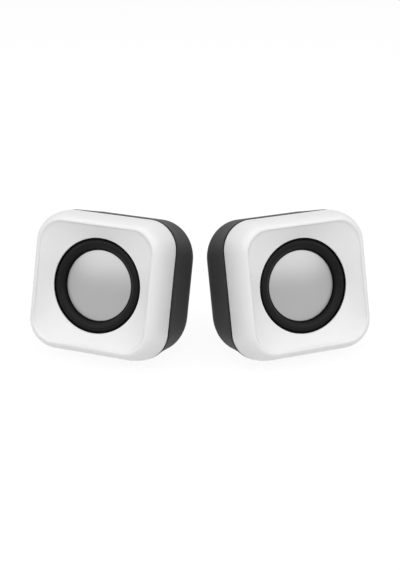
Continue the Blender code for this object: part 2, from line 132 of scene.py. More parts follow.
def block(work, low, high):
    corners = [work.verts.new((x, y, z)) for x in (low[0], high[0]) for y in (low[1], high[1])
               for z in (low[2], high[2])]
    for loop in ((0, 1, 3, 2), (4, 6, 7, 5), (0, 4, 5, 1), (2, 3, 7, 6), (0, 2, 6, 4), (1, 5, 7, 3)):
        work.faces.new([corners[i] for i in loop])


def arc(centre, size, start, end, steps):
    points = []
    for i in range(steps + 1):
        a = math.radians(start + (end - start) * i / steps)
        points.append((centre[0] + size[0] * math.cos(a), centre[1] + size[1] * math.sin(a)))
    return points


slots = {part["node"]: part["material_slot"] for part in frame["record"]["subparts"]}


# Names what a piece rides on, and hides the frame node it stands for.
def declare(piece, body, node):
    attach(piece, body)
    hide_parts(node)


# A node's points in the face's own axes, and its lowest and highest corners there.
def nodePoints(side, node):
    into = faces[side].inverted()
    points = [(into @ vertex.co) / mm for vertex in frame["nodes"][node].data.vertices]
    low = [min(point[i] for point in points) for i in range(3)]
    high = [max(point[i] for point in points) for i in range(3)]
    return points, low, high


def cutWithPiece(target, tool, operation="DIFFERENCE"):
    change = target.modifiers.new("cut", "BOOLEAN")
    change.operation = operation
    change.solver = "EXACT"
    change.object = tool
    bpy.context.view_layer.objects.active = target
    bpy.ops.object.modifier_apply(modifier=change.name)
    bpy.data.objects.remove(tool, do_unlink=True)


def cutWith(target, toolWork, side, operation="DIFFERENCE", place=None):
    tool = newPiece(target.name + "Tool", toolWork, side, target.data.materials[0], 35, place)
    cutWithPiece(target, tool, operation)


# the face's outline

face = {
    "width": 70.0, "height": 69.0, "depth": 16.9, "corner": 15.9, "heightTrim": 0.3,
    "cornerSteps": 18, "sideSteps": 10,
}


# A rounded rectangle of a constant number of points, at a depth.
def outline(halfWidth, halfHeight, radius, depth):
    radius = min(radius, 0.92 * min(halfWidth, halfHeight))
    corners = []
    for quarter in range(4):
        x = (1, -1, -1, 1)[quarter] * (halfWidth - radius)
        z = (1, 1, -1, -1)[quarter] * (halfHeight - radius)
        for i in range(face["cornerSteps"] + 1):
            a = math.pi / 2 * (quarter + i / face["cornerSteps"])
            corners.append(Vector((x + radius * math.cos(a), depth, z + radius * math.sin(a))))
    points = []
    for i, point in enumerate(corners):
        points.append(point)
        if i % (face["cornerSteps"] + 1) == face["cornerSteps"]:
            following = corners[(i + 1) % len(corners)]
            points += [point.lerp(following, j / face["sideSteps"]) for j in range(1, face["sideSteps"])]
    return points


def faceRing(inset, depth, cornerExtra=0.0):
    trim = face["heightTrim"] * depth / face["depth"]
    return outline(face["width"] / 2 - inset, face["height"] / 2 - inset - trim,
                   face["corner"] - inset + cornerExtra, depth)


# node groups

def newSocket(group, name, kind, inOut, value=None):
    socket = group.interface.new_socket(name=name, in_out=inOut, socket_type=kind)
    if value is not None:
        socket.default_value = value
    return socket


# Fine grain: a colour that wanders between two tones, a roughness that varies, and a height.
def makeGrainGroup():
    group = bpy.data.node_groups.new("grain", "ShaderNodeTree")
    newSocket(group, "Colour", "NodeSocketColor", "INPUT", (0.8, 0.8, 0.8, 1))
    newSocket(group, "Deep Colour", "NodeSocketColor", "INPUT", (0.7, 0.7, 0.7, 1))
    newSocket(group, "Grain Scale", "NodeSocketFloat", "INPUT", 3000.0)
    newSocket(group, "Cloud Scale", "NodeSocketFloat", "INPUT", 60.0)
    newSocket(group, "Roughness", "NodeSocketFloat", "INPUT", 0.4)
    newSocket(group, "Roughness Spread", "NodeSocketFloat", "INPUT", 0.05)
    newSocket(group, "Colour", "NodeSocketColor", "OUTPUT")
    newSocket(group, "Roughness", "NodeSocketFloat", "OUTPUT")
    newSocket(group, "Height", "NodeSocketFloat", "OUTPUT")
    nodes, link = group.nodes, group.links.new
    inputs = nodes.new("NodeGroupInput")
    outputs = nodes.new("NodeGroupOutput")
    place = nodes.new("ShaderNodeTexCoord")
    grain = nodes.new("ShaderNodeTexNoise")
    grain.inputs["Detail"].default_value = 3.0
    grain.inputs["Roughness"].default_value = 0.6
    cloud = nodes.new("ShaderNodeTexNoise")
    cloud.inputs["Detail"].default_value = 2.0
    link(place.outputs["Object"], grain.inputs["Vector"])
    link(place.outputs["Object"], cloud.inputs["Vector"])
    link(inputs.outputs["Grain Scale"], grain.inputs["Scale"])
    link(inputs.outputs["Cloud Scale"], cloud.inputs["Scale"])
    both = nodes.new("ShaderNodeMath")
    both.operation = "MULTIPLY_ADD"
    both.inputs[1].default_value = 0.5
    link(grain.outputs["Fac"], both.inputs[0])
    half = nodes.new("ShaderNodeMath")
    half.operation = "MULTIPLY"
    half.inputs[1].default_value = 0.5
    link(cloud.outputs["Fac"], half.inputs[0])
    link(half.outputs[0], both.inputs[2])
    tone = nodes.new("ShaderNodeMix")
    tone.data_type = "RGBA"
    link(both.outputs[0], tone.inputs["Factor"])
    link(inputs.outputs["Deep Colour"], tone.inputs["A"])
    link(inputs.outputs["Colour"], tone.inputs["B"])
    link(tone.outputs["Result"], outputs.inputs["Colour"])
    centred = nodes.new("ShaderNodeMath")
    centred.operation = "SUBTRACT"
    centred.inputs[1].default_value = 0.5
    link(both.outputs[0], centred.inputs[0])
    spread = nodes.new("ShaderNodeMath")
    spread.operation = "MULTIPLY_ADD"
    link(centred.outputs[0], spread.inputs[0])
    link(inputs.outputs["Roughness Spread"], spread.inputs[1])
    link(inputs.outputs["Roughness"], spread.inputs[2])
    link(spread.outputs[0], outputs.inputs["Roughness"])
    link(grain.outputs["Fac"], outputs.inputs["Height"])
    return group


grainGroup = makeGrainGroup()


def grainyMaterial(name, look):
    made = bpy.data.materials.new(name)
    made.use_nodes = True
    nodes, link = made.node_tree.nodes, made.node_tree.links.new
    shader = nodes["Principled BSDF"]
    grain = nodes.new("ShaderNodeGroup")
    grain.node_tree = grainGroup
    grain.inputs["Colour"].default_value = (*look["colour"], 1)
    grain.inputs["Deep Colour"].default_value = (*look["deepColour"], 1)
    grain.inputs["Grain Scale"].default_value = look["grainScale"]
    grain.inputs["Cloud Scale"].default_value = look.get("cloudScale", 60.0)
    grain.inputs["Roughness"].default_value = look["roughness"]
    grain.inputs["Roughness Spread"].default_value = look.get("roughnessSpread", 0.05)
    bump = nodes.new("ShaderNodeBump")
    bump.inputs["Strength"].default_value = look["bump"]
    bump.inputs["Distance"].default_value = look.get("bumpDepth", 0.00005)
    link(grain.outputs["Colour"], shader.inputs["Base Color"])
    link(grain.outputs["Roughness"], shader.inputs["Roughness"])
    link(grain.outputs["Height"], bump.inputs["Height"])
    link(bump.outputs["Normal"], shader.inputs["Normal"])
    shader.inputs["Metallic"].default_value = look.get("metallic", 0.0)
    shader.inputs["Specular IOR Level"].default_value = look.get("specular", 0.5)
    shader.inputs["Sheen Weight"].default_value = look.get("sheen", 0.0)
    shader.inputs["Sheen Roughness"].default_value = look.get("sheenRoughness", 0.5)
    shader.inputs["Coat Weight"].default_value = look.get("coat", 0.0)
    shader.inputs["Coat Roughness"].default_value = look.get("coatRoughness", 0.1)
    return made


looks = {
    "white_plastic": {"colour": (0.86, 0.86, 0.86), "deepColour": (0.84, 0.84, 0.84),
                      "grainScale": 2500, "roughness": 0.32, "bump": 0.02},
    "dark_plastic": {"colour": (0.06, 0.06, 0.06), "deepColour": (0.045, 0.045, 0.045),
                     "grainScale": 2600, "roughness": 0.62, "bump": 0.35, "specular": 0.14,
                     "sheen": 0.06, "sheenRoughness": 0.25},
    "black_rubber": {"colour": (0.008, 0.008, 0.008), "deepColour": (0.005, 0.005, 0.005),
                     "grainScale": 2500, "roughness": 0.42, "bump": 0.06, "specular": 0.13},
    "silver": {"colour": (0.46, 0.46, 0.46), "deepColour": (0.43, 0.43, 0.43),
               "grainScale": 5000, "roughness": 0.34, "bump": 0.08, "metallic": 0.75},
    "black_paper": {"colour": (0.035, 0.035, 0.034), "deepColour": (0.02, 0.02, 0.02),
                    "grainScale": 1200, "roughness": 0.85, "bump": 0.4},
    "chip_black": {"colour": (0.03, 0.03, 0.03), "deepColour": (0.022, 0.022, 0.022),
                   "grainScale": 3000, "roughness": 0.6, "bump": 0.2},
    "spider_cloth": {"colour": (0.6, 0.4, 0.17), "deepColour": (0.42, 0.25, 0.09),
                     "grainScale": 1500, "roughness": 0.85, "bump": 0.5},
    "copper": {"colour": (0.72, 0.36, 0.2), "deepColour": (0.55, 0.25, 0.12),
               "grainScale": 1500, "roughness": 0.35, "bump": 0.2, "metallic": 1.0},
    "black_steel": {"colour": (0.035, 0.035, 0.035), "deepColour": (0.025, 0.025, 0.025),
                    "grainScale": 1800, "roughness": 0.45, "bump": 0.15},
    "plated_steel": {"colour": (0.62, 0.61, 0.58), "deepColour": (0.5, 0.49, 0.46),
                     "grainScale": 1500, "roughness": 0.32, "bump": 0.1, "metallic": 1.0},
    "ferrite": {"colour": (0.07, 0.07, 0.075), "deepColour": (0.045, 0.045, 0.05),
                "grainScale": 900, "roughness": 0.75, "bump": 0.35},
    "board_green": {"colour": (0.02, 0.17, 0.07), "deepColour": (0.012, 0.11, 0.045),
                    "grainScale": 900, "roughness": 0.35, "bump": 0.08},
    "terminal_brown": {"colour": (0.36, 0.2, 0.09), "deepColour": (0.25, 0.13, 0.05),
                       "grainScale": 1200, "roughness": 0.6, "bump": 0.25},
}
materials = {name: grainyMaterial(name, look) for name, look in looks.items()}
print("materials made:", len(materials))


# stage, lights and camera

camera = {
    "elevation": math.radians(20.04), "distance": 0.716, "rise": 0.0008, "lens": 94.7,
}


def makeCamera():
    middle = (faces["left"].translation + faces["right"].translation) / 2
    ahead = Vector((0, math.cos(camera["elevation"]), -math.sin(camera["elevation"])))
    up = Vector((0, math.sin(camera["elevation"]), math.cos(camera["elevation"])))
    data = bpy.data.cameras.new("camera")
    data.lens = camera["lens"]
    data.sensor_width = 36
    data.clip_start = 0.01
    made = bpy.data.objects.new("camera", data)
    made.location = middle - ahead * camera["distance"] + up * camera["rise"]
    made.rotation_euler = (math.pi / 2 - camera["elevation"], 0, 0)
    bpy.context.collection.objects.link(made)
    bpy.context.scene.camera = made


lamps = {
    "overhead": {"place": (0, -0.4, 0.9), "size": (4.4, 1.8), "power": 28.0},
}


def makeLamps():
    target = Vector((0, 0, 0.04))
    for name, lamp in lamps.items():
        data = bpy.data.lights.new(name, "AREA")
        data.shape = "RECTANGLE"
        data.size, data.size_y = lamp["size"]
        data.energy = lamp["power"]
        made = bpy.data.objects.new(name, data)
        made.location = lamp["place"]
        made.rotation_euler = (target - made.location).to_track_quat("-Z", "Y").to_euler()
        bpy.context.collection.objects.link(made)


surroundings = {"diffuse": 0.28, "seen": 1.0, "grey": (1.0, 1.0, 1.0)}


def makeWorld():
    world = bpy.data.worlds.new("studio")
    bpy.context.scene.world = world
    world.use_nodes = True
    nodes, link = world.node_tree.nodes, world.node_tree.links.new
    nodes.clear()
    rays = nodes.new("ShaderNodeLightPath")
    plain = nodes.new("ShaderNodeBackground")
    plain.inputs["Color"].default_value = (*surroundings["grey"], 1)
    plain.inputs["Strength"].default_value = surroundings["diffuse"]
    white = nodes.new("ShaderNodeBackground")
    white.inputs["Strength"].default_value = surroundings["seen"]
    cameraOrGlossy = nodes.new("ShaderNodeMath")
    cameraOrGlossy.operation = "MAXIMUM"
    anySeen = nodes.new("ShaderNodeMath")
    anySeen.operation = "MAXIMUM"
    link(rays.outputs["Is Camera Ray"], cameraOrGlossy.inputs[0])
    link(rays.outputs["Is Glossy Ray"], cameraOrGlossy.inputs[1])
    link(cameraOrGlossy.outputs[0], anySeen.inputs[0])
    link(rays.outputs["Is Transmission Ray"], anySeen.inputs[1])
    mix = nodes.new("ShaderNodeMixShader")
    link(anySeen.outputs[0], mix.inputs[0])
    link(plain.outputs[0], mix.inputs[1])
    link(white.outputs[0], mix.inputs[2])
    output = nodes.new("ShaderNodeOutputWorld")
    link(mix.outputs[0], output.inputs["Surface"])


desk = {"half": 4.0, "colour": 0.8, "white": 1.06, "whiteShare": 0.88}


# A pale floor: what the camera sees of it is mostly plain white, so its shadow stays faint.
def makeDesk():
    mesh = bpy.data.meshes.new("desk")
    half = desk["half"]
    mesh.from_pydata([(-half, -half, 0), (half, -half, 0), (half, half, 0), (-half, half, 0)], [],
                     [(0, 1, 2, 3)])
    made = bpy.data.objects.new("desk", mesh)
    bpy.context.collection.objects.link(made)
    surface = bpy.data.materials.new("desk")
    surface.use_nodes = True
    nodes, link = surface.node_tree.nodes, surface.node_tree.links.new
    shader = nodes["Principled BSDF"]
    shader.inputs["Base Color"].default_value = (desk["colour"],) * 3 + (1,)
    shader.inputs["Roughness"].default_value = 0.9
    shader.inputs["Specular IOR Level"].default_value = 0.0
    white = nodes.new("ShaderNodeEmission")
    white.inputs["Strength"].default_value = desk["white"]
    rays = nodes.new("ShaderNodeLightPath")
    seen = nodes.new("ShaderNodeMath")
    seen.operation = "MAXIMUM"
    link(rays.outputs["Is Camera Ray"], seen.inputs[0])
    link(rays.outputs["Is Glossy Ray"], seen.inputs[1])
    share = nodes.new("ShaderNodeMath")
    share.operation = "MULTIPLY"
    share.inputs[1].default_value = desk["whiteShare"]
    link(seen.outputs[0], share.inputs[0])
    mix = nodes.new("ShaderNodeMixShader")
    link(share.outputs[0], mix.inputs[0])
    link(shader.outputs[0], mix.inputs[1])
    link(white.outputs[0], mix.inputs[2])
    link(mix.outputs[0], nodes["Material Output"].inputs["Surface"])
    mesh.materials.append(surface)


bpy.context.scene.view_settings.view_transform = "Standard"
makeCamera()
makeLamps()
makeWorld()
makeDesk()
print("camera, lamps and desk placed")


# front bezel

bezel = {
    "depth": face["depth"], "wall": 2.2, "rearEdge": 0.25, "rimInset": 4.7, "dishInset": 5.3,
    "dishEdge": 0.7, "edgeSteps": 6, "backInset": 0.9, "backDrop": 2.86, "backSteps": 6,
    "dishCornerExtra": 1.1, "holeRadius": 23.2, "holeDepth": 5.5, "holeRound": 0.25,
    "holeLead": 0.12, "land": 2.1,
    "sideSteps": 22, "dishSteps": 14, "bow": 0.10, "cornerTrim": 1.5,
    "caseScrew": 24.8, "caseBoss": 2.8, "caseBossRoot": 4.0, "bossEnd": 30.0,
    "caseHole": 1.5, "caseHoleStart": 20.7,
    "driverScrew": 19.8, "driverBoss": 2.6, "driverBossRoot": 1.5, "driverBossRise": 0.9,
    "driverHole": 1.3, "driverHoleDepth": 2.2,
}


def fourCorners(reach):
    return [(reach * x, reach * z) for z in (1, -1) for x in (-1, 1)]


def bezelSide(angle):
    a = math.radians(angle)
    return bezel["rimInset"] * (1 - math.sin(a)), bezel["depth"] * (1 - math.cos(a))


def roundRing(radius, depth):
    along = faceRing(bezel["dishInset"], 0, bezel["dishCornerExtra"])
    return [point.normalized() * radius + Vector((0, depth, 0)) for point in along]


# The bezel's corners are less rounded towards the parting line.
def sideRing(inset, depth):
    return faceRing(inset, depth, -bezel["cornerTrim"] * depth / bezel["depth"])


# From the rear edge forwards to the rim, and down into the dish.
def bezelFront():
    rings = [sideRing(bezel["rearEdge"], bezel["depth"])]
    for i in range(bezel["sideSteps"] + 1):
        rings.append(sideRing(*bezelSide(almostFlat * (1 - i / bezel["sideSteps"]))))
    drop, extra, steps = bezel["dishEdge"], bezel["dishCornerExtra"], bezel["edgeSteps"]
    width = bezel["dishInset"] - bezel["rimInset"]
    for i in range(1, steps):
        a = math.radians(90 * i / steps)
        rings.append(faceRing(bezel["rimInset"] + width * math.sin(a), drop * (1 - math.cos(a)),
                              extra * (i / steps)))
    edge = faceRing(bezel["dishInset"], drop, extra)
    holeStart = bezel["holeDepth"] - bezel["holeLead"]
    hole = roundRing(bezel["holeRadius"] + bezel["holeRound"], holeStart)
    for i in range(bezel["dishSteps"] + 1):
        share = i / bezel["dishSteps"]
        fall = share + bezel["bow"] * share * (1 - share)
        depth = drop + (holeStart - drop) * fall
        ring = [near.lerp(far, share) for near, far in zip(edge, hole)]
        rings.append([Vector((point.x, depth, point.z)) for point in ring])
    for angle in (30, 60, 90):
        a = math.radians(angle)
        radius = bezel["holeRadius"] + bezel["holeRound"] * (1 - math.sin(a))
        rings.append(roundRing(radius, holeStart + bezel["holeRound"] * (1 - math.cos(a))))
    return rings


# From the hole's rear edge outwards behind the dish, and back inside the sides.
def bezelBack(back):
    land = roundRing(bezel["holeRadius"] + bezel["land"], back)
    rings = [roundRing(bezel["holeRadius"], back), land]
    inner = faceRing(bezel["dishInset"] + bezel["backInset"], bezel["dishEdge"] + bezel["backDrop"],
                     bezel["dishCornerExtra"])
    for i in range(1, bezel["backSteps"] + 1):
        rings.append([near.lerp(far, i / bezel["backSteps"]) for near, far in zip(land, inner)])
    for i in range(9):
        inset, depth = bezelSide(45 + 45 * i / 8)
        rings.append(sideRing(inset + bezel["wall"], depth))
    return rings


def makeBezel(side):
    back = bezel["holeDepth"] + bezel["wall"]
    bossRise = back + bezel["driverBossRise"]
    work = bmesh.new()
    loft(work, bezelFront() + bezelBack(back), closed=True)
    piece = newPiece(side + "FrontBezel", work, side, materials["white_plastic"], 50)
    work = bmesh.new()
    for x, z in fourCorners(bezel["caseScrew"]):
        rod(work, bezel["caseBoss"], back - bezel["caseBossRoot"], bezel["bossEnd"], x, z)
    for x, z in fourCorners(bezel["driverScrew"]):
        rod(work, bezel["driverBoss"], back - bezel["driverBossRoot"], bossRise, x, z)
    cutWith(piece, work, side, "UNION")
    work = bmesh.new()
    for x, z in fourCorners(bezel["caseScrew"]):
        rod(work, bezel["caseHole"], bezel["caseHoleStart"], bezel["bossEnd"] + through, x, z)
    for x, z in fourCorners(bezel["driverScrew"]):
        rod(work, bezel["driverHole"], back - bezel["driverHoleDepth"], bossRise + through, x, z)
    cutWith(piece, work, side)
    declare(piece, side + "_speaker", side + "_front_bezel")


# rear shell

shell = {
    "gap": 0.1, "groove": 1.4, "undercut": 1.6, "tongue": 2.8, "tongueWall": 1.3, "draft": 0.056,
    "growth": 2.3, "rearGrowth": 1.41,
    "straightEnd": 37.5, "rearRadius": 20.6, "soleDepth": 42.7, "soleDrop": 29.3,
    "straightSteps": 10, "roundSteps": 22, "insideSteps": 8, "edgeRound": 0.15, "soleRound": 0.24,
    "soleReach": 4.0, "trimFade": 10.0, "hollowFront": 2.0, "thickEnd": 3.0, "thinStart": 5.0,
    "postRadius": 4.2, "shankHole": 1.5, "screwSeat": 35.5, "wellRadius": 2.9, "rearReach": 6.4,
}
board = {
    "screwAcross": 14.5, "screwHeight": -4.0, "postRadius": 2.6, "back": 45.6,
    "screwHole": 1.3, "screwHoleLead": 1.6,
}
knob = {
    "height": 4.2, "radius": 7.5, "start": 58.4, "length": 8.0, "bore": 3.3, "front": 1.8,
    "shaftHole": 3.6, "flutes": 30, "fluteDepth": 0.35, "fluteStart": 0.9, "fluteLength": 5.2,
    "edgeRound": 0.7, "dish": 0.35, "dishRim": 1.5, "pointer": (0.4, 2.2, 5.2), "pointerDepth": 0.4,
}
grommet = {
    "height": -8.7, "hole": 3.2, "flange": 4.4, "cordHole": 1.4, "outside": 58.4, "wall": 2.8,
    "collar": 1.4, "flangeEdge": 0.5, "flangeRound": 0.9, "length": 5.0,
    "ribs": 4, "ribRadius": 3.15, "ribTaper": 0.5, "ribDepth": 0.35, "ribGap": 0.02,
}


def soleHeight(side, depth):
    lean = math.asin(-faces[side].col[1].z)
    return -shell["soleDrop"] + math.tan(lean) * (depth - shell["soleDepth"])


def shellRing(side, inward, depth=None, angle=0.0):
    a = math.radians(angle)
    draftInset = shell["draft"] * ((shell["straightEnd"] if depth is None else depth) - bezel["depth"])
    roundInset = 0
    inset = shell["gap"] + draftInset + inward
    if depth is None:
        depth = shell["straightEnd"] + (shell["rearRadius"] - inward) * math.sin(a)
        roundInset = shell["rearRadius"] * (1 - math.cos(a))
        inset += (shell["rearRadius"] - inward) * (1 - math.cos(a))
    radius = face["corner"] - shell["gap"] - inward
    radius += (shell["growth"] - 1) * draftInset + (shell["rearGrowth"] - 1) * roundInset
    radius -= bezel["cornerTrim"] * max(0, 1 - (depth - bezel["depth"]) / shell["trimFade"])
    ring = outline(face["width"] / 2 - inset, face["height"] / 2 - inset, radius, depth)
    for point in ring:
        floor = soleHeight(side, point.y) + inward
        over = point.z - floor
        # a soft maximum rounds the edge between the sole and the sides
        if over < shell["soleReach"]:
            point.z = floor + 0.5 * (over + math.hypot(over, shell["soleRound"]))
    return ring


def makeShell(side):
    front = bezel["depth"] + shell["groove"]
    tongue = bezel["wall"] + shell["gap"]
    straight = shell["straightEnd"] - front
    rings = [shellRing(side, tongue, front - shell["tongue"])]
    rings.append(shellRing(side, tongue, front + shell["undercut"]))
    rings.append(shellRing(side, shell["edgeRound"], front))
    rings.append(shellRing(side, 0.3 * shell["edgeRound"], front + 0.3 * shell["edgeRound"]))
    rings.append(shellRing(side, 0, front + shell["edgeRound"]))
    for i in range(1, shell["straightSteps"] + 1):
        rings.append(shellRing(side, 0, front + straight * i / shell["straightSteps"]))
    for i in range(1, shell["roundSteps"] + 1):
        rings.append(shellRing(side, 0, angle=almostFlat * i / shell["roundSteps"]))
    work = bmesh.new()
    loft(work, rings)
    piece = newPiece(side + "RearShell", work, side, materials["dark_plastic"], 50)

    inside = tongue + shell["tongueWall"]
    rings = [shellRing(side, inside, front - shell["tongue"] - shell["hollowFront"])]
    rings.append(shellRing(side, inside, front + shell["thickEnd"]))
    rings.append(shellRing(side, bezel["wall"], front + shell["thinStart"]))
    rings.append(shellRing(side, bezel["wall"], shell["straightEnd"]))
    for i in range(1, shell["insideSteps"] + 1):
        rings.append(shellRing(side, bezel["wall"], angle=almostFlat * i / shell["insideSteps"]))
    work = bmesh.new()
    loft(work, rings)
    hollow = newPiece(side + "Hollow", work, side, materials["dark_plastic"])
    beyond = shell["straightEnd"] + shell["rearRadius"] + 2 * through
    rearStart = beyond - shell["rearReach"]
    work = bmesh.new()
    for x, z in fourCorners(bezel["caseScrew"]):
        rod(work, shell["postRadius"], bezel["bossEnd"] + fitGap, beyond, x, z, 40)
    if side == "right":
        for x in (-board["screwAcross"], board["screwAcross"]):
            rod(work, board["postRadius"], board["back"] + fitGap, beyond, x, board["screwHeight"])
    cutWith(hollow, work, side)
    cutWithPiece(piece, hollow)

    work = bmesh.new()
    seat, well, shank = shell["screwSeat"], shell["wellRadius"], shell["shankHole"]
    for x, z in fourCorners(bezel["caseScrew"]):
        turn(work, [(0, bezel["bossEnd"]), (shank, bezel["bossEnd"]), (shank, seat), (well, seat),
                    (well, beyond), (0, beyond)], 40, x, z)
    rod(work, grommet["hole"], rearStart, beyond, 0, grommet["height"], 48)
    if side == "right":
        rod(work, knob["shaftHole"], rearStart, beyond, 0, knob["height"], 48)
        for x in (-board["screwAcross"], board["screwAcross"]):
            rod(work, board["screwHole"], board["back"] - board["screwHoleLead"], rearStart, x,
                board["screwHeight"])
    cutWith(piece, work, side)
    declare(piece, side + "_speaker", side + "_rear_shell")


# surround and dome

driver = {
    "domeRadius": 17.05, "domeLip": 0.25, "domeEdge": 8.2, "domeRise": 1.9, "skin": 0.5, "domeGap": 0.65,
    "collar": 23.05, "collarTop": 5.8, "collarWidth": 0.15, "grooveWidth": 0.5, "grooveFloor": 7.2,
    "rollEdge": 6.7, "crest": 20.6, "crestDepth": 5.5, "foot": 9.4, "rubber": 0.45, "lip": 25.0,
    "lipThickness": 0.6, "blendStart": 21.9, "heldEdge": 0.3, "sectors": 16, "sectorSteps": 8,
}


# A flexing ring is made as sectors, each turned from the same profile and baked in place.
def flexRing(side, name, node, slot, profile):
    count = driver["sectors"]
    for sector in range(count):
        work = bmesh.new()
        rows = []
        for step in range(driver["sectorSteps"] + 1):
            a = 2 * math.pi * (sector + step / driver["sectorSteps"]) / count
            rows.append([work.verts.new((radius * math.cos(a), depth, radius * math.sin(a)))
                         for radius, depth in profile])
        work.faces.new(rows[0])
        work.faces.new(rows[-1])
        for near, far in zip(rows, rows[1:]):
            for i in range(len(profile)):
                j = (i + 1) % len(profile)
                work.faces.new((near[i], near[j], far[j], far[i]))
        piece = newPiece(f"{side}{name}{sector + 1}", work, side, materials[slot], 50)
        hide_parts(node)
        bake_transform(piece)


def makeSurround(side):
    lipFront = bezel["holeDepth"] + bezel["wall"] + fitGap
    lipBack = lipFront + driver["lipThickness"]
    inside = driver["domeRadius"] + driver["domeGap"]
    rubber = driver["rubber"]
    collar, top, width = driver["collar"], driver["collarTop"], driver["collarWidth"]
    crest, crestDepth, foot = driver["crest"], driver["crestDepth"], driver["foot"]
    edge, floor = driver["rollEdge"], driver["grooveFloor"]
    rollOuter = collar - width - driver["grooveWidth"]
    profile = [(driver["lip"], lipBack), (driver["lip"], lipFront), (collar, lipFront),
               (collar, top + 0.05), (collar - 0.05, top), (collar - width, top),
               (collar - width, floor), (rollOuter, floor)]
    profile += arc((crest, edge), (rollOuter - crest, crestDepth - edge), 0, 90, 12)
    profile += arc((crest, foot), (inside - crest, crestDepth - foot), 90, 2, 16)[1:]
    profile += [(inside, foot + rubber)]
    profile += arc((crest, foot + rubber), (inside + rubber - crest, crestDepth - foot), 2, 90, 10)[1:]
    profile += arc((crest, edge + rubber), (rollOuter - rubber - crest, crestDepth - edge), 90, 0, 8)[1:]
    profile += [(rollOuter - rubber, lipBack)]
    flexRing(side, "Surround", side + "_surround", "black_rubber", profile)


spider = {
    "outer": 15.9, "inner": 8.0, "depth": 17.55, "fold": 0.8, "folds": 4, "thickness": 0.3,
    "blendStart": 15.0,
}


def makeSpider(side):
    steps = 8 * spider["folds"]
    front = []
    for i in range(steps + 1):
        share = i / steps
        radius = spider["outer"] + (spider["inner"] - spider["outer"]) * share
        wave = 0.5 - 0.5 * math.cos(2 * math.pi * spider["folds"] * share)
        front.append((radius, spider["depth"] - spider["fold"] * wave))
    back = [(radius, depth + spider["thickness"]) for radius, depth in reversed(front)]
    flexRing(side, "Spider", side + "_spider", "spider_cloth", front + back)


def domeCurve(lift, steps):
    radius, rise = driver["domeRadius"], driver["domeRise"]
    sphere = (radius ** 2 + rise ** 2) / (2 * rise)
    centre = driver["domeEdge"] - rise + sphere
    span = math.asin(radius / sphere)
    return [((sphere - lift) * math.sin(span * i / steps),
             centre - (sphere - lift) * math.cos(span * i / steps)) for i in range(steps + 1)]


def makeDome(side):
    edge = driver["domeEdge"] + driver["domeLip"]
    profile = domeCurve(0, 28) + [(driver["domeRadius"], edge)]
    profile += list(reversed(domeCurve(driver["skin"], 20)))[1:]
    work = bmesh.new()
    turn(work, profile, 128)
    piece = newPiece(side + "DomeCap", work, side, materials["silver"], 40)
    declare(piece, side + "_cone_assembly", side + "_dome_cap")


# feet, screws, grommet and knob

foot = {"rim": 0.35, "recess": 0.2, "recessRadius": 2.1, "recessSlope": 0.15}


# A foot stands upright in the world, so it is turned about z and placed by its node's box.
def makeFeet(side):
    for number in range(1, 5):
        node = f"{side}_foot_{number}"
        low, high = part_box(node)
        radius, height = (high[0] - low[0]) / 2 / mm, (high[2] - low[2]) / mm
        rim, recess, inner = foot["rim"], foot["recess"], foot["recessRadius"]
        profile = [(0, recess), (inner, recess), (inner + foot["recessSlope"], 0)]
        profile += arc((radius - rim, rim), (rim, -rim), 90, 0, 6)
        profile += [(radius, height), (0, height)]
        work = bmesh.new()
        turn(work, profile, 48)
        upright = Matrix.Rotation(math.pi / 2, 4, "X")
        centre = Matrix.Translation(((low[0] + high[0]) / 2, (low[1] + high[1]) / 2, low[2]))
        piece = newPiece(f"{side}Foot{number}", work, side, materials["black_rubber"], 40,
                         centre @ upright)
        declare(piece, side + "_speaker", node)


# A pan-head screw with a cross recess and a threaded shank, its head towards the rear. What
# isn't given in screws is a share of the head, the shank or the pitch.
def makeScrew(name, side, node, spot, size):
    x, seat, z = spot
    head, rise, shank, length = size["head"], size["rise"], size["shank"], size["length"]
    profile = [(0, seat - length), (0.3 * shank, seat - length), (shank, seat - length + 1.5 * shank)]
    turns = int((length - 2.5 * shank) / size["pitch"])
    for i in range(turns):
        start = seat - length + 1.5 * shank + i * size["pitch"]
        profile += [(0.8 * shank, start + 0.3 * size["pitch"]), (0.8 * shank, start + 0.7 * size["pitch"]),
                    (shank, start + size["pitch"])]
    profile += [(shank, seat), (head, seat)]
    profile += arc((head - 0.45 * rise, seat + 0.55 * rise), (0.45 * rise, 0.45 * rise), 0, 70, 6)
    profile += [(0.45 * head, seat + rise), (0, seat + rise)]
    work = bmesh.new()
    turn(work, profile, 28, x, z)
    piece = newPiece(name, work, side, materials["plated_steel"], 40)
    work = bmesh.new()
    arm, slot, depth = 0.55 * head, 0.16 * head, 0.6 * rise
    bottom, top = seat + rise - depth, seat + rise + through
    block(work, (x - arm, bottom, z - slot), (x + arm, top, z + slot))
    cutWith(piece, work, side)
    work = bmesh.new()
    block(work, (x - slot, bottom, z - arm), (x + slot, top, z + arm))
    cutWith(piece, work, side)
    declare(piece, side + "_speaker", node)


screws = {
    "case": {"seat": 35.8, "head": 2.3, "rise": 1.8, "shank": 1.2, "length": 14.5, "pitch": 1.0},
    "driver": {"seat": 10.4, "head": 1.9, "rise": 1.4, "shank": 1.0, "length": 4.3, "pitch": 0.7},
}


def makeScrews(side):
    for kind, reach in (("case", bezel["caseScrew"]), ("driver", bezel["driverScrew"])):
        for number, (x, z) in enumerate(fourCorners(reach), 1):
            makeScrew(f"{side}{kind.capitalize()}Screw{number}", side, f"{side}_{kind}_screw_{number}",
                      (x, screws[kind]["seat"], z), screws[kind])


